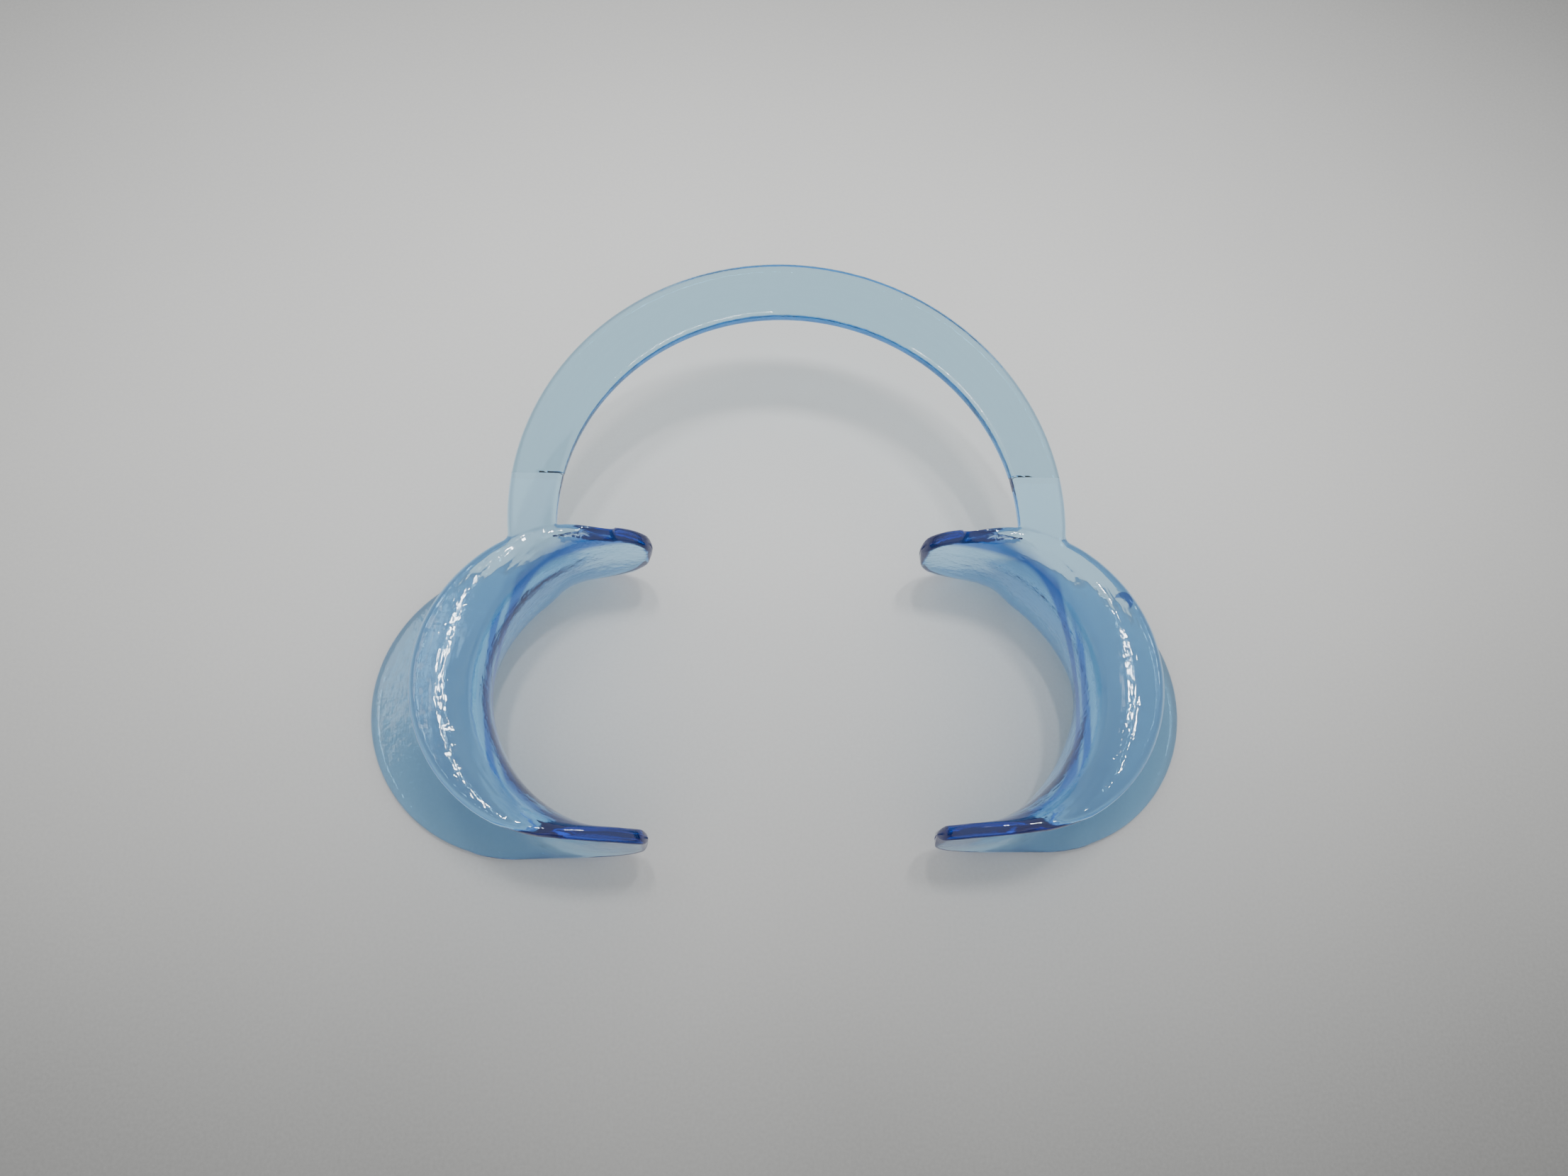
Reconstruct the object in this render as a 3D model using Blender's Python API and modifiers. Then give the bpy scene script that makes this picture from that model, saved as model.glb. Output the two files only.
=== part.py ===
"""C-shaped cheek retractor of clear blue polycarbonate, lying on its two cheek flanges.

Metres, +Z up. The origin is under the middle of the object, on the surface it lies on.
The bow is at +Y, and the mouth opening between the two cheek pieces is at -Y.
The right side (+X) turns about the crown of the bow when the retractor is squeezed.
"""

from math import asin, atan2, cos, hypot, pi, radians, sin, sqrt

import bmesh
import bpy

# Driving dimensions
SHEET = 0.0018  # wall thickness of the whole moulding
GAP = 0.0003  # clearance between neighbouring pieces
TOP_LEVEL = 0.0196  # middle of the sheet in the bow and the lip flanges
FLOOR_LEVEL = SHEET / 2  # middle of the sheet in the cheek flanges
WAIST_LEVEL = 0.0135  # height at which the saddle is nearest to the mouth

BOW_CENTRE = (0.0, 0.0030)
BOW_OUTER_RADIUS = 0.03535
BOW_INNER_CENTRE = (0.0, 0.00105)
BOW_INNER_RADIUS = 0.02925
SEAM_Y = 0.0072  # where the bow meets its two shoulders

SADDLE_CENTRE = (0.0195, -0.0189)
SADDLE_RADIUS = 0.01855  # to the middle of the sheet at the waist
TOP_BEND = 0.0045  # reach of the bend from the saddle into the lip flange
FOOT_BEND = 0.0090  # reach of the bend from the saddle into the cheek flange
HORN_TIP_ANGLE = radians(95)  # measured from the outward direction
HORN_ROUNDING_ANGLE = radians(66)  # where a horn starts to round off
HORN_TIP_SHARE = 0.12  # share of the full height that is left at the tip

LIP_RIM_CENTRE = (0.0264, -0.01875)
LIP_RIM_RADIUS = 0.0194
CHEEK_RIM_CENTRE = (0.03495, -0.0184)
CHEEK_RIM_RADIUS = 0.01995
CUSP_INSET = 0.0003  # each edge of a flange moves in this far to end its cusps blunt

ARC_STEP = 0.0016
SADDLE_STATIONS = 61  # sections along a saddle, closer together at the tips
BEND_STEPS = 6  # faces in each of a saddle's two bends

KNUCKLE_RADIUS = (BOW_CENTRE[1] + BOW_OUTER_RADIUS - BOW_INNER_CENTRE[1] - BOW_INNER_RADIUS) / 2
PIVOT = (0.0, BOW_CENTRE[1] + BOW_OUTER_RADIUS - KNUCKLE_RADIUS, TOP_LEVEL)

PALE_BLUE = (0.42, 0.60, 0.70, 1.0)
MID_BLUE = (0.26, 0.48, 0.66, 1.0)
DEEP_BLUE = (0.12, 0.28, 0.58, 1.0)


def clear_scene():
    for old in list(bpy.data.objects):
        bpy.data.objects.remove(old, do_unlink=True)


def plastic(name, colour):
    """Clear polycarbonate of one tint."""
    material = bpy.data.materials.new(name)
    material.use_nodes = True
    shader = material.node_tree.nodes["Principled BSDF"]
    shader.inputs["Base Color"].default_value = colour
    shader.inputs["Roughness"].default_value = 0.12
    shader.inputs["Metallic"].default_value = 0.0
    shader.inputs["IOR"].default_value = 1.585
    shader.inputs["Transmission Weight"].default_value = 0.6
    return material


def finish(piece, colour, collection, pivot):
    """Give a piece its material, and hang it on the pivot if it moves."""
    piece.data.materials.append(plastic(piece.name, colour))
    collection.objects.link(piece)
    if pivot is not None:
        piece.parent = pivot
        piece.location = piece.location - pivot.location


def direction(centre, point):
    return atan2(point[1] - centre[1], point[0] - centre[0])


def arc(centre, radius, start, end):
    """Points on a circle from one angle to another."""
    count = max(2, round(abs(end - start) * radius / ARC_STEP))
    angles = [start + (end - start) * i / count for i in range(count + 1)]
    return [(centre[0] + radius * cos(a), centre[1] + radius * sin(a)) for a in angles]


def arc_between(centre, radius, start_point, end_point):
    """The same, between two points on the circle, by way of its +X side."""
    return arc(centre, radius, direction(centre, start_point), direction(centre, end_point))


def crossing(centre_a, radius_a, centre_b, radius_b, left):
    """Where two circles meet, to the left or the right of the way from a to b."""
    apart = hypot(centre_b[0] - centre_a[0], centre_b[1] - centre_a[1])
    along = (apart**2 + radius_a**2 - radius_b**2) / (2 * apart)
    turn = atan2(sqrt(radius_a**2 - along**2), along)
    angle = direction(centre_a, centre_b) + (turn if left else -turn)
    return centre_a[0] + radius_a * cos(angle), centre_a[1] + radius_a * sin(angle)


def height_on(centre, radius, y):
    """The point at height y on a circle's +X side."""
    return centre[0] + sqrt(radius**2 - (y - centre[1]) ** 2), y


def arm_outline(end):
    """Half of the bow, from its shoulder round to the crown, where end closes it."""
    seam = SEAM_Y + GAP / 2
    outer_seam = height_on(BOW_CENTRE, BOW_OUTER_RADIUS, seam)
    inner_seam = height_on(BOW_INNER_CENTRE, BOW_INNER_RADIUS, seam)
    outer = arc_between(BOW_CENTRE, BOW_OUTER_RADIUS, outer_seam, end[0])
    inner = arc_between(BOW_INNER_CENTRE, BOW_INNER_RADIUS, end[-1], inner_seam)
    return outer + end[1:-1] + inner


def knuckle():
    """The round end of the fixed arm, which reaches past the crown."""
    return arc(PIVOT, KNUCKLE_RADIUS, pi / 2, 3 * pi / 2)


def socket():
    """The hollow end of the moving arm, which goes round the knuckle."""
    radius = KNUCKLE_RADIUS + GAP
    top = crossing(BOW_CENTRE, BOW_OUTER_RADIUS, PIVOT, radius, left=False)
    bottom = crossing(BOW_INNER_CENTRE, BOW_INNER_RADIUS, PIVOT, radius, left=False)
    return arc_between(PIVOT, radius, top, bottom)


def shoulder_outline():
    """The end of the bow's band, from the seam down to the rim of the lip flange."""
    seam = SEAM_Y - GAP / 2
    rim = LIP_RIM_RADIUS + GAP
    outer_seam = height_on(BOW_CENTRE, BOW_OUTER_RADIUS, seam)
    inner_seam = height_on(BOW_INNER_CENTRE, BOW_INNER_RADIUS, seam)
    outer_foot = crossing(BOW_CENTRE, BOW_OUTER_RADIUS, LIP_RIM_CENTRE, rim, left=True)
    inner_foot = crossing(BOW_INNER_CENTRE, BOW_INNER_RADIUS, LIP_RIM_CENTRE, rim, left=True)
    outer = arc_between(BOW_CENTRE, BOW_OUTER_RADIUS, outer_seam, outer_foot)
    foot = arc_between(LIP_RIM_CENTRE, rim, outer_foot, inner_foot)
    inner = arc_between(BOW_INNER_CENTRE, BOW_INNER_RADIUS, inner_foot, inner_seam)
    return outer + foot[1:-1] + inner


def flange_outline(rim_centre, rim_radius, seam_radius):
    """A crescent between the saddle's bend and the flange's own round rim."""
    cusps = [
        crossing(SADDLE_CENTRE, seam_radius + CUSP_INSET, rim_centre, rim_radius - CUSP_INSET, left)
        for left in (False, True)
    ]
    rim = arc_between(rim_centre, rim_radius, cusps[0], cusps[1])
    bend = arc_between(SADDLE_CENTRE, seam_radius, cusps[1], cusps[0])
    return rim + bend


def plate(name, outline, side, level, colour, collection, pivot):
    """A flat piece, whose outline is drawn for the right side and mirrored for the left."""
    curve = bpy.data.curves.new(name, "CURVE")
    curve.dimensions = "2D"
    curve.fill_mode = "BOTH"
    curve.extrude = SHEET / 2
    spline = curve.splines.new("POLY")
    spline.points.add(len(outline) - 1)
    for point, (x, y) in zip(spline.points, outline):
        point.co = (side * x, y, 0.0, 1.0)
    spline.use_cyclic_u = True
    piece = bpy.data.objects.new(name, curve)
    piece.location = (0.0, 0.0, level)
    finish(piece, colour, collection, pivot)


def rim_distance(rim_centre, rim_radius, angle):
    """How far a rim is from the saddle's centre: a half circle with straight lines to the horns."""
    ahead = rim_centre[0] - SADDLE_CENTRE[0]
    aside = rim_centre[1] - SADDLE_CENTRE[1]
    along = ahead * cos(angle) + aside * sin(angle)
    across = ahead * sin(angle) - aside * cos(angle)
    on_circle = along + sqrt(rim_radius**2 - across**2) if abs(across) < rim_radius else 0.0
    if on_circle * cos(angle) >= ahead:
        return on_circle
    return (rim_radius + (aside if angle > 0 else -aside)) / abs(sin(angle))


def bend_reach(full_reach, rim_centre, rim_radius, angle):
    """A bend's full reach, which shrinks where the rim comes close to the saddle."""
    room = rim_distance(rim_centre, rim_radius, angle) - SADDLE_RADIUS - SHEET / 2
    return full_reach * max(0.0, min(1.0, room / (full_reach - SHEET / 2)))


def horn_share(angle):
    """Share of the full height that a section has: 1, and less where a horn rounds off."""
    past = (abs(angle) - HORN_ROUNDING_ANGLE) / (HORN_TIP_ANGLE - HORN_ROUNDING_ANGLE)
    if past <= 0:
        return 1.0
    return HORN_TIP_SHARE + (1 - HORN_TIP_SHARE) * sqrt(max(0.0, 1 - past**2))


def saddle_section(angle):
    """The middle of the sheet at one station, as (distance from the centre, height) pairs."""
    top = bend_reach(TOP_BEND, LIP_RIM_CENTRE, LIP_RIM_RADIUS, angle)
    foot = bend_reach(FOOT_BEND, CHEEK_RIM_CENTRE, CHEEK_RIM_RADIUS, angle)
    section = []
    for i in range(BEND_STEPS, -BEND_STEPS - 1, -1):
        bend = asin(horn_share(angle)) * i / BEND_STEPS
        reach, end_level = (top, TOP_LEVEL) if i > 0 else (foot, FLOOR_LEVEL)
        height = WAIST_LEVEL + (end_level - WAIST_LEVEL) * sin(abs(bend))
        section.append((SADDLE_RADIUS + reach * (1 - cos(bend)), height))
    return section


def saddle(name, side, colour, collection, pivot):
    """The curved wall that the lip and the corner of the mouth lie round."""
    mesh = bmesh.new()
    rows = []
    for i in range(SADDLE_STATIONS):
        angle = HORN_TIP_ANGLE * cos(pi * i / (SADDLE_STATIONS - 1))
        rows.append(
            [
                mesh.verts.new(
                    (
                        side * (SADDLE_CENTRE[0] + distance * cos(angle)),
                        SADDLE_CENTRE[1] + distance * sin(angle),
                        height,
                    )
                )
                for distance, height in saddle_section(angle)
            ]
        )
    for row, following in zip(rows, rows[1:]):
        for a, b, c, d in zip(row, row[1:], following[1:], following):
            mesh.faces.new((a, b, c, d) if side > 0 else (d, c, b, a))
    data = bpy.data.meshes.new(name)
    mesh.to_mesh(data)
    mesh.free()
    data.shade_smooth()
    piece = bpy.data.objects.new(name, data)
    wall = piece.modifiers.new("wall", "SOLIDIFY")
    wall.thickness = SHEET
    wall.offset = 0.0
    wall.use_even_offset = True
    finish(piece, colour, collection, pivot)


def build():
    clear_scene()
    parts = bpy.data.collections.new("cheek_retractor")
    bpy.context.scene.collection.children.link(parts)

    pivot = bpy.data.objects.new("crown_pivot", None)
    pivot.location = PIVOT
    parts.objects.link(pivot)

    lip_outline = flange_outline(LIP_RIM_CENTRE, LIP_RIM_RADIUS, SADDLE_RADIUS + TOP_BEND + GAP)
    cheek_outline = flange_outline(CHEEK_RIM_CENTRE, CHEEK_RIM_RADIUS, SADDLE_RADIUS + FOOT_BEND + GAP)
    plate("bow_left", arm_outline(knuckle()), -1, TOP_LEVEL, PALE_BLUE, parts, None)
    plate("bow_right", arm_outline(socket()), 1, TOP_LEVEL, PALE_BLUE, parts, pivot)
    for word, side, parent in (("left", -1, None), ("right", 1, pivot)):
        plate("shoulder_" + word, shoulder_outline(), side, TOP_LEVEL, PALE_BLUE, parts, parent)
        plate("lip_flange_" + word, lip_outline, side, TOP_LEVEL, MID_BLUE, parts, parent)
        saddle("saddle_" + word, side, DEEP_BLUE, parts, parent)
        plate("cheek_flange_" + word, cheek_outline, side, FLOOR_LEVEL, PALE_BLUE, parts, parent)


build()
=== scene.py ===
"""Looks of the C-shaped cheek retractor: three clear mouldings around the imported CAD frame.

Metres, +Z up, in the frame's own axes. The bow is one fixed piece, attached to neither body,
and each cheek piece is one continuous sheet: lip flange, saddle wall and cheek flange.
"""

from math import asin, atan2, ceil, cos, hypot, pi, radians, sin, sqrt, tan

import bmesh
import bpy
from mathutils import Euler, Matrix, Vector


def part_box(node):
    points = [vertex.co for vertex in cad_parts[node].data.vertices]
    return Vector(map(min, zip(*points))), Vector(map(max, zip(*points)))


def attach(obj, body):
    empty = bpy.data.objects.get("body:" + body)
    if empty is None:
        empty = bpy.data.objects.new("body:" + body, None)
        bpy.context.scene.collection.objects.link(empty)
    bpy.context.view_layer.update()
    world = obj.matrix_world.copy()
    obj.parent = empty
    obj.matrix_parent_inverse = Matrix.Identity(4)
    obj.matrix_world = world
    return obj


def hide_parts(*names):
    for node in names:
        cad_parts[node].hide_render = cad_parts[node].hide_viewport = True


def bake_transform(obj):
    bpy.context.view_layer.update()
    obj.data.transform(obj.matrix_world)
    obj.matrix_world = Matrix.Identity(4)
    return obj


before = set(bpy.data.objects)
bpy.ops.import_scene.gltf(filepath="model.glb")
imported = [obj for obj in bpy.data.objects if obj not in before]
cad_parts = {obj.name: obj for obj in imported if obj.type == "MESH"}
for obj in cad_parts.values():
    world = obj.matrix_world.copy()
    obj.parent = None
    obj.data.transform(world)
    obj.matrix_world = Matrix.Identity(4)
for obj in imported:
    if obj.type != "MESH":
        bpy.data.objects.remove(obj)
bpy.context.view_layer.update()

# The moulding, as in the CAD source
BOW_LOW, BOW_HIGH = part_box("bow_left")
HALF = (BOW_HIGH.z - BOW_LOW.z) / 2  # half the thickness of the sheet
TOP_LEVEL = (BOW_HIGH.z + BOW_LOW.z) / 2
FLOOR_LEVEL = HALF
WAIST_LEVEL = 0.0135
SEAM_Y = (BOW_LOW.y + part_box("shoulder_left")[1].y) / 2
SEAM_GAP = 0.000006
SEAM_SLANT = 0.254  # the seam leans back as it goes down, so light passes beside it

BOW_CENTRE = (0.0, 0.0030)
BOW_OUTER_RADIUS = 0.03535
BOW_INNER_CENTRE = (0.0, 0.00105)
BOW_INNER_RADIUS = 0.02925
SADDLE_CENTRE = (0.0195, -0.0189)
SADDLE_RADIUS = 0.01855
LIP_RIM = (0.0264, -0.01875, 0.0194)  # a half circle: its centre in plan and its radius
CHEEK_RIM = (0.03495, -0.0184, 0.01995)

# Sections of a cheek piece, at angles round the saddle's centre
TOP_BEND = 0.0055  # how far the bends reach outwards from the wall
FOOT_BEND = 0.0090
TOP_POWER = 2.6  # exponents of their curves: 2 is an ellipse, more is squarer
FOOT_POWER = 4.0
FOOT_SQUARE_ANGLE = radians(55)  # the lower curve is squarest from here on
LEAST_BEND_RADIUS = 1.08 * HALF
ROUNDING_ANGLE = radians(66)  # a horn starts to round off here
TIP_ANGLE = radians(96)  # and ends here
LIP_TILT_START, FOOT_TILT_START = radians(46), radians(70)
END_TILT = radians(85)  # how far a flange's end is turned up at the very tip
LEVEL_BEND = radians(89.9)  # a bend that comes this far round ends level
# Between these bends a flange's end swings round to the rim's own normal
RIM_TURN_START, RIM_TURN_SPAN = radians(75), radians(14)
SHOULDER_BLEND = radians(18)  # past a shoulder, over which its rim turns into the plain one
LEAST_SHARE = 0.7  # a cut bend is stretched no further than by its inverse
TINY_REACH, TINY_RISE = 1e-6, 1e-4  # keep the divisions and roots below away from zero

# Edges
BAND_EDGE = 0.00060  # rounding of the bow's and the shoulders' edges
RIM_EDGE = 0.00075  # rounding of the flanges' rims
INNER_FILLET = 0.00025
OUTER_FILLET = 0.0010
SUPPORT = 0.00015  # a narrow flat strip beside a rounded edge
# A section under a shoulder stops this far inside the rim
OPEN_DEPTH = BAND_EDGE + SUPPORT + 0.0001

# Clear plastic. A noise mostly stays inside NOISE_RANGE
NOISE_RANGE, BEAD_RANGE = (0.3, 0.7), (0.35, 0.75)
REFRACTION = 1.585
PLASTIC_COLOUR = (0.05, 0.71, 0.99, 1.0)
PLASTIC_DENSITY = 350.0  # per metre
ROUGHNESS = 0.02, 0.07
HAZE = (0.84, 0.86, 0.87), (0.86, 0.88, 0.89)  # on the bow, between its tool marks and on them
MARK_STRETCH = 0.0035  # a turn in radians to metres: shorter than an arc, so marks are long
MARK_SCALE, MARK_DEPTH = 2600.0, 0.000016
BEAD_SCALE, BEAD_DEPTH = 900.0, 0.00003
WAVE_SCALE, WAVE_DEPTH = 130.0, 0.00012

# On top of the lip flanges
LIP_TOP_EDGE = 0.0188, 0.0194  # distance from the rim's centre, clear of the shoulder
LIP_TOP_LEVEL = 0.0190, 0.0201
BRUSHED_TURN = radians(58), radians(72)  # the brush marks fade out here, towards the horns
BRUSHED_LEAST = 0.15
BRUSH_SCALE, BRUSH_DEPTH = 750.0, 0.00012
DOT_SCALE, DOT_DEPTH = 620.0, 0.00009
# A painted dark reflection: a small dark crescent on the right lip flange, one disc less another
DARK_REFLECTION, DARK_REFLECTION_RADIUS = (0.0416, -0.0095), (0.0011, 0.0013)
DARK_REFLECTION_BITE, DARK_REFLECTION_BITE_RADIUS = (0.0409, -0.0104), (0.0012, 0.0014)

# The deep blue band where light travels down inside a wall, painted on: a navy tint as painted
# shade and an emission as painted glow
PIPE_TURN = radians(56)
PIPE_LOW, PIPE_HIGH = 0.0122, 0.0192  # its level at the middle and at the horns
PIPE_THIN, PIPE_WIDE = 0.0013, 0.0022
PIPE_WIDENING = 0.5 * PIPE_TURN, 1.3 * PIPE_TURN
PIPE_FALLOFF = 0.45, 1.0  # shares of its width
PIPE_REACH = 0.0186, 0.0200
# The band's navy tint is painted shade, and its emission is painted glow
PIPE_PAINTED_SHADE = (0.03, 0.10, 0.36)
PIPE_PAINTED_GLOW = (0.004, 0.016, 0.072)
# A faint painted glow over the rest of the walls, lifting their darkest parts
VEIL_PAINTED_GLOW = (0.0, 0.002, 0.012)

# Table, coloured with a painted pool of light behind the saddles and painted shade far away
TABLE_SIZE, TABLE_DROP = 1.5, 0.0001
# Painted light: the board's colour in the painted pool of light and in the painted shade far off
TABLE_PAINTED_LIT, TABLE_PAINTED_SHADE = (0.80, 0.80, 0.785), (0.17, 0.17, 0.165)
TABLE_PAINTED_POOL_Y = 0.035
TABLE_WIDTH_SHARE = 0.6  # the bright part is wider than deep
TABLE_FADE, TABLE_RETURN = (0.01, 0.150), (0.17, 0.40)  # painted shade: darker, then paler again far away
TABLE_RETURN_LEAST = 0.12
CLOUD_SCALE, CLOUD_AMOUNT = 14.0, 0.12
GRAIN_SCALE, GRAIN_AMOUNT, GRAIN_DEPTH = 2200.0, 0.10, 0.00004
TABLE_ROUGHNESS = 0.5, 0.62

# Mesh density
CURVE_STEPS = 90  # along a bend, before its points are spread evenly
TIP_STEPS = 7
TOP_POINTS = 24
FOOT_POINTS = 40
EDGE_STEPS = 5
FILLET_STEPS = 8
STRIP_STEPS = 14
SUPPORT_STEPS = 4  # a shoulder's support strip opens out over these
STATION_STEP = radians(1.25)
BOW_STATIONS = 200
BOW_SHARES = (0.04, 0.2, 0.4, 0.6, 0.8, 0.96)  # points across the band


def smooth(share):
    """0 to 1 with a level start and end."""
    share = min(1.0, max(0.0, share))
    return share * share * (3 - 2 * share)


def round_off(past):
    """1 up to a start, then falling like a circle's edge to 0."""
    return sqrt(max(0.0, 1 - max(0.0, past) ** 2))


def polar(centre, radius, angle):
    return Vector((centre[0] + radius * cos(angle), centre[1] + radius * sin(angle)))


def heading(centre, point):
    return atan2(point[1] - centre[1], point[0] - centre[0])


def crossing(centre_a, radius_a, centre_b, radius_b):
    """Where two circles meet, to the left of the way from a to b."""
    apart = hypot(centre_b[0] - centre_a[0], centre_b[1] - centre_a[1])
    along = (apart**2 + radius_a**2 - radius_b**2) / (2 * apart)
    turn = atan2(sqrt(radius_a**2 - along**2), along)
    return polar(centre_a, radius_a, heading(centre_a, centre_b) + turn)


# ---------------------------------------------------------------- sections of a cheek piece


def rim_distance(rim, angle):
    """How far a rim is from the saddle's centre.

    A rim is a half circle which runs on in straight lines to the horns.
    """
    ahead = rim[0] - SADDLE_CENTRE[0]
    aside = rim[1] - SADDLE_CENTRE[1]
    along = ahead * cos(angle) + aside * sin(angle)
    across = ahead * sin(angle) - aside * cos(angle)
    on_circle = along + sqrt(rim[2] ** 2 - across**2) if abs(across) < rim[2] else 0.0
    if on_circle * cos(angle) >= ahead:
        return on_circle
    return (rim[2] + (aside if angle > 0 else -aside)) / abs(sin(angle))


def rim_normal(rim, angle):
    """The rim's outward direction in plan at one angle."""
    point = polar(SADDLE_CENTRE, rim_distance(rim, angle), angle)
    if point.x < rim[0]:
        return Vector((0.0, 1.0 if angle > 0 else -1.0))
    return (point - Vector(rim[:2])).normalized()


def tip_closing(angle):
    """1 along a saddle, falling like a circle's edge to 0 at the very tip of a horn."""
    span = HALF / SADDLE_RADIUS
    return round_off((abs(angle) - (TIP_ANGLE - span)) / span)


def horn_share(angle):
    """Share of the full height that a section has."""
    past = (abs(angle) - ROUNDING_ANGLE) / (TIP_ANGLE - ROUNDING_ANGLE)
    return round_off(past) * tip_closing(angle)


def squareness(reach, full_reach, height, most):
    """Exponent of a bend's curve: 2 for an ellipse, more for a tighter corner."""
    least = sqrt(LEAST_BEND_RADIUS * height)
    return 2 + (most - 2) * smooth((reach - least) / (full_reach - least))


def bend_limit(angle, reach, height, power, tilt_start):
    """Bend angle at which a section ends.

    It is level along the saddle and turned up towards the horns, and never so far round
    that a sheet of this thickness no longer fits inside the bend.
    """
    limit = pi / 2
    tilt = END_TILT * smooth((abs(angle) - tilt_start) / (TIP_ANGLE - tilt_start))
    if angle > 0:
        tilt *= 1 - near_shoulder(angle)
    if tilt > 0:
        steep = (height / (reach * tan(tilt))) ** (power / (2 * power - 2))
        limit = atan2(steep, 1.0)
    least = (LEAST_BEND_RADIUS * reach * height) ** (2 / 3)
    if reach < height and least > reach**2:
        rise = (height**2 - least) / (height**2 - reach**2)
        limit = min(limit, asin(sqrt(max(TINY_RISE, rise))))
    return limit


def near_shoulder(angle):
    """1 under a shoulder, falling smoothly to 0 a little way past its two sides."""
    past = max(angle - SHOULDER_ANGLES[0], SHOULDER_ANGLES[1] - angle) / SHOULDER_BLEND
    return smooth(1 - past)


def half_section(angle, rim, full_reach, level, is_open, most):
    """One half of a section, from the waist to its rim.

    Returns a function of the share of its length, which gives a point and the outward
    normal of the mouth side, and the direction in which the sheet ends.
    """
    radial = Vector((cos(angle), sin(angle)))
    share = horn_share(angle)
    height = abs(level - WAIST_LEVEL) * share
    up = 1.0 if level > WAIST_LEVEL else -1.0
    near = near_shoulder(angle) if up > 0 else 0.0
    rounding = RIM_EDGE + (BAND_EDGE - RIM_EDGE) * near
    depth = RIM_EDGE + (OPEN_DEPTH + SUPPORT - RIM_EDGE) * near
    edge = rim_distance(rim, angle)
    end = edge - (OPEN_DEPTH if is_open else rounding)
    reach = max(TINY_REACH, min(full_reach, edge - depth - SADDLE_RADIUS) * share)
    power = squareness(reach, full_reach, height, most)
    fold = 2 / power  # exponents of the curve and of its slope
    slope = 2 - fold
    tilt_start = LIP_TILT_START if up > 0 else FOOT_TILT_START
    bend = bend_limit(angle, reach, height, power, tilt_start)
    if up < 0:
        # A bend that is cut short ends at the rim all the same
        reach /= max(LEAST_SHARE, 1 - max(0.0, cos(bend)) ** fold)
    bend_end = SADDLE_RADIUS + reach * (1 - max(0.0, cos(bend)) ** fold)
    level_end = bend > LEVEL_BEND
    flat = max(0.0, end - bend_end) * (1 if level_end or is_open else near)
    mix = 0.0 if is_open else min(1.0, max(0.0, (bend - RIM_TURN_START) / RIM_TURN_SPAN))
    outward = (radial * (1 - mix) + rim_normal(rim, angle) * mix).normalized()
    if level_end and not is_open:
        finish = polar(SADDLE_CENTRE, edge, angle) - outward * rounding
    else:
        finish = polar(SADDLE_CENTRE, bend_end + flat, angle)
    start = polar(SADDLE_CENTRE, bend_end, angle)

    # Turns are closer together near the waist, where a square curve runs away fastest
    turns = [bend * (i / CURVE_STEPS) ** (power / 2) for i in range(CURVE_STEPS + 1)]
    turns[-1] = bend
    aways = [1 - max(0.0, cos(t)) ** fold for t in turns]
    rises = [sin(t) ** fold for t in turns]
    lengths = [0.0]
    for i in range(1, CURVE_STEPS + 1):
        step = hypot(reach * (aways[i] - aways[i - 1]), height * (rises[i] - rises[i - 1]))
        lengths.append(lengths[-1] + step)
    total = lengths[-1] + flat

    def at(share):
        goal = share * total
        if flat and goal > lengths[-1]:
            plan = start.lerp(finish, (goal - lengths[-1]) / flat)
            point = Vector((plan.x, plan.y, WAIST_LEVEL + up * height * rises[-1]))
            return point, Vector((0.0, 0.0, up))
        i = 1
        while i < CURVE_STEPS and lengths[i] < goal:
            i += 1
        step = lengths[i] - lengths[i - 1]
        between = min(1.0, (goal - lengths[i - 1]) / step)
        turn = turns[i - 1] + (turns[i] - turns[i - 1]) * between
        away = aways[i - 1] + (aways[i] - aways[i - 1]) * between
        rise = rises[i - 1] + (rises[i] - rises[i - 1]) * between
        plan = polar(SADDLE_CENTRE, SADDLE_RADIUS + reach * away, angle)
        point = Vector((plan.x, plan.y, WAIST_LEVEL + up * height * rise))
        inward = radial * (-height * max(0.0, cos(turn)) ** slope)
        normal = Vector((inward.x, inward.y, up * reach * sin(turn) ** slope))
        return point, normal.normalized()

    sideways = outward * (reach * sin(bend) ** slope)
    onward = Vector(
        (sideways.x, sideways.y, up * height * max(0.0, cos(bend)) ** slope * (1 - near))
    ).normalized()
    return at, onward, rounding


def edge_profile(end, normal, onward, half, radius):
    """Points round the edge of a sheet, from its mouth side to its channel side."""
    radius = min(radius, half)
    points = []
    for i in range(EDGE_STEPS + 1):
        turn = pi / 2 * i / EDGE_STEPS
        points.append((radius * sin(turn), half - radius + radius * cos(turn)))
    points += [(out, -side) for out, side in reversed(points)]
    return [end + onward * out + normal * side for out, side in points]


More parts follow.
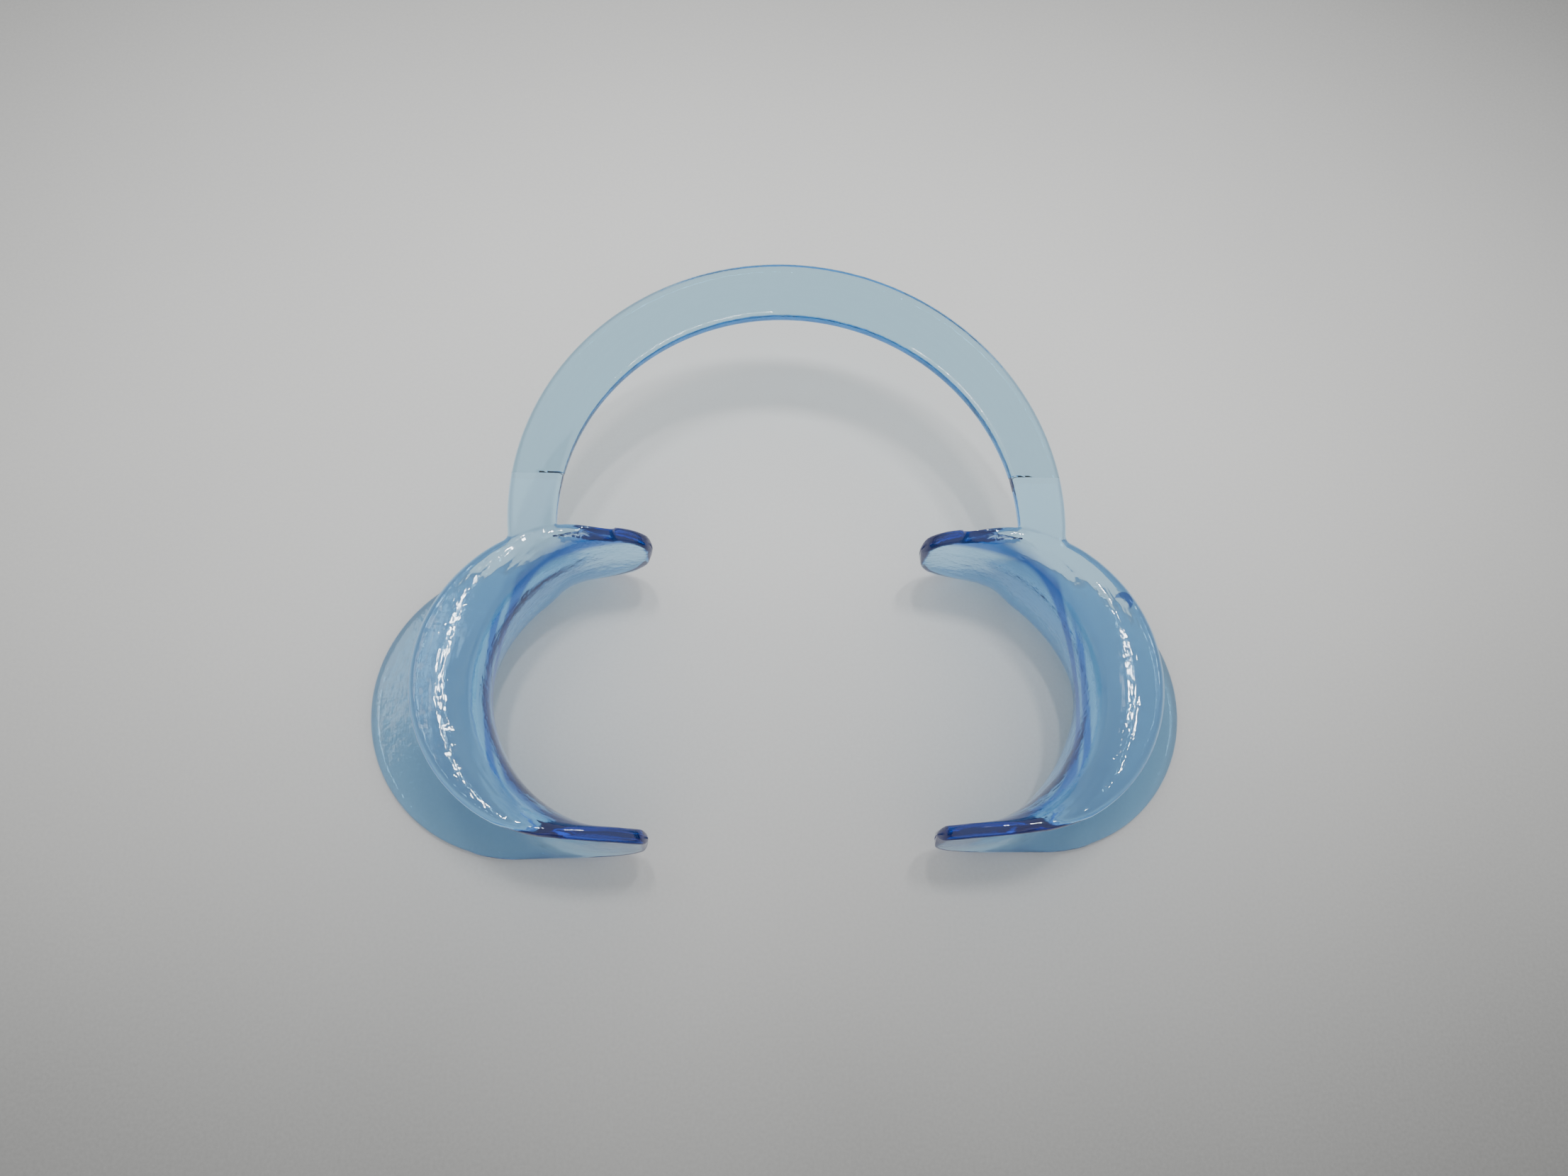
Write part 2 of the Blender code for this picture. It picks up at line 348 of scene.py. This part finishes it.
def cheek_ring(angle, is_open):
    """One closed section of a cheek piece: two faces of the sheet and its two rounded rims."""
    half = HALF * tip_closing(angle)
    foot_power = 2 + (FOOT_POWER - 2) * smooth(abs(angle) / FOOT_SQUARE_ANGLE)
    lip, lip_onward, lip_edge = half_section(
        angle, LIP_RIM, TOP_BEND, TOP_LEVEL, is_open, TOP_POWER
    )
    foot, foot_onward, foot_edge = half_section(
        angle, CHEEK_RIM, FOOT_BEND, FLOOR_LEVEL, False, foot_power
    )
    line = [lip(1 - i / TOP_POINTS) for i in range(TOP_POINTS)]
    line += [foot(i / FOOT_POINTS) for i in range(FOOT_POINTS + 1)]
    mouth_side = [p + n * half for p, n in line]
    channel_side = [p - n * half for p, n in line]
    lip_end = edge_profile(*line[0], lip_onward, half, lip_edge)
    foot_end = edge_profile(*line[-1], foot_onward, half, foot_edge)
    ring = mouth_side[:-1] + foot_end + channel_side[-2:0:-1]
    return ring + (channel_side[:1] if is_open else lip_end[:0:-1])


# The rings' layout: mouth side, foot edge, channel side, and the lip edge where it is closed
MOUTH_COUNT = TOP_POINTS + FOOT_POINTS
EDGE_COUNT = 2 * (EDGE_STEPS + 1)
CHANNEL_START = MOUTH_COUNT + EDGE_COUNT
LIP_EDGE_START = CHANNEL_START + MOUTH_COUNT - 1


def spread(start, end):
    """Station angles from one to another, start left out."""
    count = max(1, ceil(abs(end - start) / STATION_STEP))
    return [start + (end - start) * i / count for i in range(1, count + 1)]


def tip_angles():
    """Stations round the tip of a horn, closer together towards its very end."""
    span = HALF / SADDLE_RADIUS
    return [TIP_ANGLE - span * (1 - sin(pi / 2 * i / TIP_STEPS)) for i in range(TIP_STEPS)]


def shoulder_strips():
    """Edges of a shoulder in plan as (point, outward direction), from the rim to the seam."""
    seam = SEAM_Y - SEAM_GAP / 2
    strips = []
    for centre, radius, fillet, sign in (
        (BOW_INNER_CENTRE, BOW_INNER_RADIUS, INNER_FILLET, -1),
        (BOW_CENTRE, BOW_OUTER_RADIUS, OUTER_FILLET, 1),
    ):
        pivot = crossing(centre, radius + sign * fillet, LIP_RIM[:2], LIP_RIM[2] + fillet)
        first = heading(LIP_RIM, pivot)
        last = heading(centre, pivot) + (pi if sign < 0 else 0.0)
        strip = []
        for i in range(FILLET_STEPS + 1):
            out = first + (last - first) * i / FILLET_STEPS
            direction = Vector((cos(out), sin(out)))
            strip.append((pivot - direction * fillet, direction))
        low = heading(centre, strip[-1][0])
        high = asin((seam - centre[1]) / radius)
        for i in range(1, STRIP_STEPS + 1):
            angle = low + (high - low) * i / STRIP_STEPS
            direction = Vector((cos(angle), sin(angle))) * sign
            # Over the last third it turns to lie along the seam
            along = Vector((float(sign), 0.0))
            direction = direction.lerp(along, max(0.0, i / STRIP_STEPS * 3 - 2)).normalized()
            strip.append((polar(centre, radius, angle), direction))
        strips.append(strip)
    return strips


SHOULDER_STRIPS = shoulder_strips()
SHOULDER_ANGLES = [heading(SADDLE_CENTRE, strip[0][0]) for strip in SHOULDER_STRIPS]


def slanted(point):
    """A point of the seam's section, moved along the band to lean back."""
    return Vector((point.x, point.y + SEAM_SLANT * (BOW_HIGH.z - point.z), point.z))


def cheek_piece(name, side):
    """One whole cheek piece with its shoulder, up to the seam; side is 1 on the right."""
    inner_strip, outer_strip = SHOULDER_STRIPS
    from_angle, to_angle = SHOULDER_ANGLES
    tips = tip_angles()
    angles = tips[::-1] + spread(tips[0], from_angle)
    first = len(angles) - 1
    angles += spread(from_angle, to_angle)
    last = len(angles) - 1
    angles += spread(to_angle, -tips[0]) + [-a for a in tips[1:]]

    mesh = bmesh.new()

    def vertex(point):
        return mesh.verts.new((side * point.x, point.y, point.z))

    def face(*corners):
        unique = list(dict.fromkeys(corners))
        if len(unique) > 2:
            return mesh.faces.new(unique)

    rings = [
        [vertex(p) for p in cheek_ring(angle, first < i < last)]
        for i, angle in enumerate(angles)
    ]
    for i, (ring, following) in enumerate(zip(rings, rings[1:])):
        closed = len(ring) == len(following) and not first <= i < last
        count = len(ring) if closed else LIP_EDGE_START
        for j in range(count):
            k = (j + 1) % len(ring)
            face(ring[j], ring[k], following[k], following[j])
    for ring, angle in ((rings[0], TIP_ANGLE), (rings[-1], -TIP_ANGLE)):
        end = polar(SADDLE_CENTRE, SADDLE_RADIUS, angle)
        tip = vertex(Vector((end.x, end.y, WAIST_LEVEL)))
        for j in range(len(ring)):
            face(ring[j], ring[(j + 1) % len(ring)], tip)

    # Shoulder: rounded edges as strips of profiles, then flat faces between them
    upper, lower = [], []
    ends = []
    for strip, ring in ((inner_strip, rings[first]), (outer_strip, rings[last])):
        before = [ring[0]] + ring[:LIP_EDGE_START:-1] + [ring[LIP_EDGE_START]]
        top_line, bottom_line = [before[0]], [before[-1]]
        before = [before[0]] + before + [before[-1]]
        for step, (point, direction) in enumerate(strip[1:], 1):
            out = Vector((direction.x, direction.y, 0.0))
            at = Vector((point.x, point.y, TOP_LEVEL)) - out * BAND_EDGE
            profile = edge_profile(at, Vector((0.0, 0.0, 1.0)), out, HALF, BAND_EDGE)
            inset = out * SUPPORT * min(1.0, step / SUPPORT_STEPS)
            points = [profile[0] - inset, *profile, profile[-1] - inset]
            if step == len(strip) - 1:
                points = [slanted(p) for p in points]
            section = [vertex(p) for p in points]
            for a, b, c, d in zip(before, before[1:], section[1:], section):
                face(a, b, c, d)
            before = section
            top_line.append(section[0])
            bottom_line.append(section[-1])
        upper.append(top_line)
        lower.append(bottom_line)
        ends.append(before)
    between = rings[first + 1 : last]
    face(*upper[0][::-1], *[r[0] for r in between], *upper[1])
    face(*lower[0][::-1], *[r[LIP_EDGE_START] for r in between], *lower[1])
    cut = face(*ends[0], *ends[1][::-1])

    return smooth_object(name, mesh, [cut])


def bow_piece(name):
    """The flat bow between its two seams, as sections from the right to the left."""
    seam = SEAM_Y + SEAM_GAP / 2
    outer_low = asin((seam - BOW_CENTRE[1]) / BOW_OUTER_RADIUS)
    inner_low = asin((seam - BOW_INNER_CENTRE[1]) / BOW_INNER_RADIUS)
    mesh = bmesh.new()
    rings = []
    for i in range(BOW_STATIONS + 1):
        round_bow = i / BOW_STATIONS
        outer_angle = outer_low + (pi - 2 * outer_low) * round_bow
        inner_angle = inner_low + (pi - 2 * inner_low) * round_bow
        outer = polar(BOW_CENTRE, BOW_OUTER_RADIUS, outer_angle)
        inner = polar(BOW_INNER_CENTRE, BOW_INNER_RADIUS, inner_angle)
        out = (outer - inner).normalized()
        out = Vector((out.x, out.y, 0.0))
        up = Vector((0.0, 0.0, 1.0))
        far = Vector((outer.x, outer.y, TOP_LEVEL)) - out * BAND_EDGE
        near = Vector((inner.x, inner.y, TOP_LEVEL)) + out * BAND_EDGE
        ring = edge_profile(far, up, out, HALF, BAND_EDGE)
        ring += [far.lerp(near, share) - up * HALF for share in BOW_SHARES]
        ring += edge_profile(near, -up, -out, HALF, BAND_EDGE)
        ring += [near.lerp(far, share) + up * HALF for share in BOW_SHARES]
        if i in (0, BOW_STATIONS):
            ring = [slanted(p) for p in ring]
        rings.append([mesh.verts.new(p) for p in ring])
    for ring, following in zip(rings, rings[1:]):
        for j in range(len(ring)):
            k = (j + 1) % len(ring)
            mesh.faces.new((ring[j], ring[k], following[k], following[j]))
    cuts = [mesh.faces.new(rings[0]), mesh.faces.new(rings[-1])]
    return smooth_object(name, mesh, cuts)


def smooth_object(name, mesh, cuts):
    """A smoothly shaded object with flat, sharp-edged cut faces."""
    bmesh.ops.recalc_face_normals(mesh, faces=mesh.faces)
    for each in mesh.faces:
        each.smooth = True
    for cut in cuts:
        cut.smooth = False
        for edge in cut.edges:
            edge.smooth = False
    return as_object(name, mesh)


def as_object(name, mesh):
    data = bpy.data.meshes.new(name)
    mesh.to_mesh(data)
    mesh.free()
    piece = bpy.data.objects.new(name, data)
    bpy.context.scene.collection.objects.link(piece)
    return piece


# ---------------------------------------------------------------- materials


def new_material(name):
    material = bpy.data.materials.new(name)
    material.use_nodes = True
    nodes = material.node_tree.nodes
    nodes.clear()
    return material, nodes, material.node_tree.links


class Wiring:
    """Short calls for the node chains below. An input is either a socket or a plain value."""

    def __init__(self, material):
        self.nodes = material.node_tree.nodes
        self.links = material.node_tree.links

    def put(self, socket, value):
        if isinstance(value, bpy.types.NodeSocket):
            self.links.new(value, socket)
        else:
            socket.default_value = value

    def maths(self, operation, *values):
        node = self.nodes.new("ShaderNodeMath")
        node.operation = operation
        for socket, value in zip(node.inputs, values):
            self.put(socket, value)
        return node.outputs[0]

    def times(self, first, second):
        return self.maths("MULTIPLY", first, second)

    def length(self, ahead, aside):
        squares = self.times(ahead, ahead), self.times(aside, aside)
        return self.maths("SQRT", self.maths("ADD", *squares))

    def reach(self, x, y, centre):
        """Distance in plan from a centre."""
        ahead = self.maths("SUBTRACT", x, centre[0])
        aside = self.maths("SUBTRACT", y, centre[1])
        return self.length(ahead, aside)

    def ramp(self, value, low, high, to_low=0.0, to_high=1.0):
        node = self.nodes.new("ShaderNodeMapRange")
        node.interpolation_type = "SMOOTHSTEP"
        for socket, number in zip(node.inputs, (value, low, high, to_low, to_high)):
            self.put(socket, number)
        return node.outputs[0]

    def vector(self, x, y, z):
        node = self.nodes.new("ShaderNodeCombineXYZ")
        for socket, value in zip(node.inputs, (x, y, z)):
            self.put(socket, value)
        return node.outputs[0]

    def noise(self, vector, scale, detail, roughness=0.5):
        node = self.nodes.new("ShaderNodeTexNoise")
        self.put(node.inputs["Vector"], vector)
        node.inputs["Scale"].default_value = scale
        node.inputs["Detail"].default_value = detail
        node.inputs["Roughness"].default_value = roughness
        return node.outputs["Fac"]

    def colour(self, factor, first, second):
        node = self.nodes.new("ShaderNodeMix")
        node.data_type = "RGBA"
        factor_socket, first_socket, second_socket = (node.inputs[i] for i in (0, 6, 7))
        self.put(factor_socket, factor)
        self.put(first_socket, (*first, 1.0))
        self.put(second_socket, (*second, 1.0))
        return node.outputs[2]

    def bump(self, height, distance, normal=None, strength=1.0):
        node = self.nodes.new("ShaderNodeBump")
        node.inputs["Strength"].default_value = strength
        node.inputs["Distance"].default_value = distance
        self.put(node.inputs["Height"], height)
        if normal is not None:
            self.put(node.inputs["Normal"], normal)
        return node.outputs["Normal"]

    def place(self):
        node = self.nodes.new("ShaderNodeTexCoord")
        split = self.nodes.new("ShaderNodeSeparateXYZ")
        self.links.new(node.outputs["Object"], split.inputs[0])
        return node.outputs["Object"], split.outputs


def lip_marks(wiring, spot, stretched, away_from_rim, level, lean, normal):
    """Heavier brush marks and dots on top of the lip flanges, none on the shoulders."""
    on_lip = wiring.times(
        wiring.ramp(away_from_rim, *LIP_TOP_EDGE, 1.0, 0.0), wiring.ramp(level, *LIP_TOP_LEVEL)
    )
    on_lip = wiring.times(on_lip, wiring.ramp(lean, *BRUSHED_TURN, 1.0, BRUSHED_LEAST))
    brushed = wiring.noise(stretched, BRUSH_SCALE, detail=2.0)
    normal = wiring.bump(wiring.times(brushed, on_lip), BRUSH_DEPTH, normal)
    dots = wiring.noise(spot, DOT_SCALE, detail=1.0)
    return wiring.bump(wiring.times(dots, on_lip), DOT_DEPTH, normal)


def painted_dark_crescent(wiring, x, y, z):
    """A small painted dark reflection, a crescent in the top of the right lip flange: one disc
    less another.
    """
    disc = wiring.ramp(wiring.reach(x, y, DARK_REFLECTION), *DARK_REFLECTION_RADIUS, 1.0, 0.0)
    bitten = wiring.times(disc, wiring.ramp(wiring.reach(x, y, DARK_REFLECTION_BITE), *DARK_REFLECTION_BITE_RADIUS))
    return wiring.times(bitten, wiring.ramp(z, *LIP_TOP_LEVEL))


def painted_deep_band(wiring, lean, away, z):
    """Mask of the painted deep blue band along the top of the horns, dipping to the middle of
    the saddle.
    """
    level = wiring.ramp(lean, 0.0, PIPE_TURN, PIPE_LOW, PIPE_HIGH)
    width = wiring.ramp(lean, *PIPE_WIDENING, PIPE_THIN, PIPE_WIDE)
    off = wiring.maths("ABSOLUTE", wiring.maths("SUBTRACT", z, level))
    off = wiring.maths("DIVIDE", off, width)
    return wiring.times(
        wiring.ramp(off, *PIPE_FALLOFF, 1.0, 0.0), wiring.ramp(away, *PIPE_REACH, 1.0, 0.0)
    )


def clear_plastic(name, centre, piped):
    """Clear blue plastic with fine tool marks running round a centre in plan.

    piped: whether light travels down inside the wall, which is painted on as a deep blue band
    of painted shade and painted glow along the top of the horns and the bend towards the mouth.
    """
    material, nodes, links = new_material(name)
    wiring = Wiring(material)
    output = nodes.new("ShaderNodeOutputMaterial")
    shader = nodes.new("ShaderNodeBsdfPrincipled")
    shader.inputs["Transmission Weight"].default_value = 1.0
    shader.inputs["IOR"].default_value = REFRACTION

    spot, (x, y, z) = wiring.place()
    either_side = wiring.maths("ABSOLUTE", x)
    ahead = wiring.maths("SUBTRACT", either_side, centre[0])
    aside = wiring.maths("SUBTRACT", y, centre[1])
    away = wiring.length(ahead, aside)
    turn = wiring.maths("ARCTAN2", aside, ahead)
    lean = wiring.maths("ABSOLUTE", turn)

    # Tool marks are long round the centre and short across it
    stretched = wiring.vector(away, wiring.times(turn, MARK_STRETCH), z)
    marks = wiring.noise(stretched, MARK_SCALE, detail=3.0, roughness=0.6)
    beads = wiring.noise(spot, BEAD_SCALE, detail=2.0)
    waves = wiring.noise(spot, WAVE_SCALE, detail=1.0)
    normal = wiring.bump(marks, MARK_DEPTH, strength=0.4)
    normal = wiring.bump(beads, BEAD_DEPTH, normal, strength=0.7)
    if piped:
        away_from_rim = wiring.reach(either_side, y, LIP_RIM)
        normal = lip_marks(wiring, spot, stretched, away_from_rim, z, lean, normal)
    normal = wiring.bump(waves, WAVE_DEPTH, normal, strength=0.6)
    wiring.put(shader.inputs["Normal"], normal)
    wiring.put(shader.inputs["Roughness"], wiring.ramp(beads, *BEAD_RANGE, *ROUGHNESS))

    # Painted light on the walls: the band's navy tint (painted shade) and emission (painted
    # glow), a faint painted glow elsewhere, and a painted dark reflection on the right lip
    # flange
    if piped:
        band = painted_deep_band(wiring, lean, away, z)
        painted_darkening = wiring.maths("MAXIMUM", band, painted_dark_crescent(wiring, x, y, z))
        haze_and_painted_shade = wiring.colour(painted_darkening, (1.0, 1.0, 1.0), PIPE_PAINTED_SHADE)
        painted_glow = wiring.colour(band, VEIL_PAINTED_GLOW, PIPE_PAINTED_GLOW)
        wiring.put(shader.inputs["Emission Color"], painted_glow)
        shader.inputs["Emission Strength"].default_value = 1.0
    else:
        haze_and_painted_shade = wiring.colour(wiring.ramp(marks, *NOISE_RANGE), *HAZE)
    wiring.put(shader.inputs["Base Color"], haze_and_painted_shade)

    depth = nodes.new("ShaderNodeVolumeAbsorption")
    depth.inputs["Color"].default_value = PLASTIC_COLOUR
    depth.inputs["Density"].default_value = PLASTIC_DENSITY
    links.new(shader.outputs["BSDF"], output.inputs["Surface"])
    links.new(depth.outputs["Volume"], output.inputs["Volume"])
    return material


def table_top_painted_light(name):
    """A pale satin board with a painted pool of light, brightest behind the saddles."""
    material, nodes, links = new_material(name)
    wiring = Wiring(material)
    output = nodes.new("ShaderNodeOutputMaterial")
    shader = nodes.new("ShaderNodeBsdfPrincipled")
    spot, (x, y, _) = wiring.place()
    across = wiring.times(x, TABLE_WIDTH_SHARE)
    along = wiring.maths("SUBTRACT", y, TABLE_PAINTED_POOL_Y)
    away = wiring.length(across, along)
    # Painted light: bright behind the saddles, falling off to painted shade, then a little paler
    # far away
    shade = wiring.times(
        wiring.ramp(away, *TABLE_FADE), wiring.ramp(away, *TABLE_RETURN, 1.0, TABLE_RETURN_LEAST)
    )
    cloud = wiring.noise(spot, CLOUD_SCALE, detail=2.0)
    grain = wiring.noise(spot, GRAIN_SCALE, detail=2.0)
    for noise, amount in ((cloud, CLOUD_AMOUNT), (grain, GRAIN_AMOUNT)):
        uneven = wiring.times(wiring.maths("SUBTRACT", noise, 0.5), amount)
        shade = wiring.maths("ADD", shade, uneven)
    wiring.put(shader.inputs["Base Color"], wiring.colour(shade, TABLE_PAINTED_LIT, TABLE_PAINTED_SHADE))
    wiring.put(shader.inputs["Roughness"], wiring.ramp(cloud, *NOISE_RANGE, *TABLE_ROUGHNESS))
    wiring.put(shader.inputs["Normal"], wiring.bump(grain, GRAIN_DEPTH, strength=0.2))
    links.new(shader.outputs["BSDF"], output.inputs["Surface"])
    return material


# ---------------------------------------------------------------- the scene

# The walls' material carries the painted deep blue band, a faint painted glow and a painted dark
# reflection
wall_plastic_painted_band = clear_plastic("clear_blue_wall_painted_band", SADDLE_CENTRE, True)
band_plastic = clear_plastic("clear_blue_band", BOW_CENTRE, False)

bow = bow_piece("bow")
cheeks = {
    "left_half": cheek_piece("cheek_piece_left", -1),
    "right_half": cheek_piece("cheek_piece_right", 1),
}
for piece in (bow, *cheeks.values()):
    piece.data.materials.append(band_plastic if piece is bow else wall_plastic_painted_band)
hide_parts("bow_left", "bow_right")
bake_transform(bow)
for body, word in (("left_half", "left"), ("right_half", "right")):
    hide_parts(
        "shoulder_" + word,
        "lip_flange_" + word,
        "saddle_" + word,
        "cheek_flange_" + word,
    )
    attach(cheeks[body], body)

ground = bmesh.new()
bmesh.ops.create_grid(ground, x_segments=1, y_segments=1, size=TABLE_SIZE)
table = as_object("table", ground)
table.location.z = -TABLE_DROP
# The board's colour carries a painted pool of light and painted shade
table.data.materials.append(table_top_painted_light("table_top_painted_light"))


def area_light(name, location, power, width, depth):
    """A lamp that looks at the middle of the object."""
    light = bpy.data.lights.new(name, "AREA")
    light.energy = power
    light.shape = "RECTANGLE"
    light.size = width
    light.size_y = depth
    lamp = bpy.data.objects.new(name, light)
    lamp.location = location
    lamp.rotation_euler = (-Vector(location)).to_track_quat("-Z", "Y").to_euler()
    bpy.context.scene.collection.objects.link(lamp)


area_light("left_lamp", (-0.05, 0.22, 0.975), power=1.60, width=0.034, depth=0.12)
area_light("right_lamp", (0.125, 0.20, 0.97), power=1.60, width=0.034, depth=0.12)
area_light("left_panel", (-0.34, 0.23, 0.90), power=0.20, width=0.16, depth=0.16)

world = bpy.data.worlds.new("studio")
bpy.context.scene.world = world
world.use_nodes = True
backdrop = world.node_tree.nodes["Background"]
backdrop.inputs["Color"].default_value = (1.0, 1.0, 1.0, 1.0)
backdrop.inputs["Strength"].default_value = 0.93

camera = bpy.data.cameras.new("camera")
camera.lens = 27.049
camera.sensor_width = 36.0
camera.clip_start = 0.01
viewer = bpy.data.objects.new("camera", camera)
viewer.location = (-0.01166, -0.05236, 0.15832)
viewer.rotation_euler = Euler((0.3125, -0.0700, -0.0196))
bpy.context.scene.collection.objects.link(viewer)
bpy.context.scene.camera = viewer
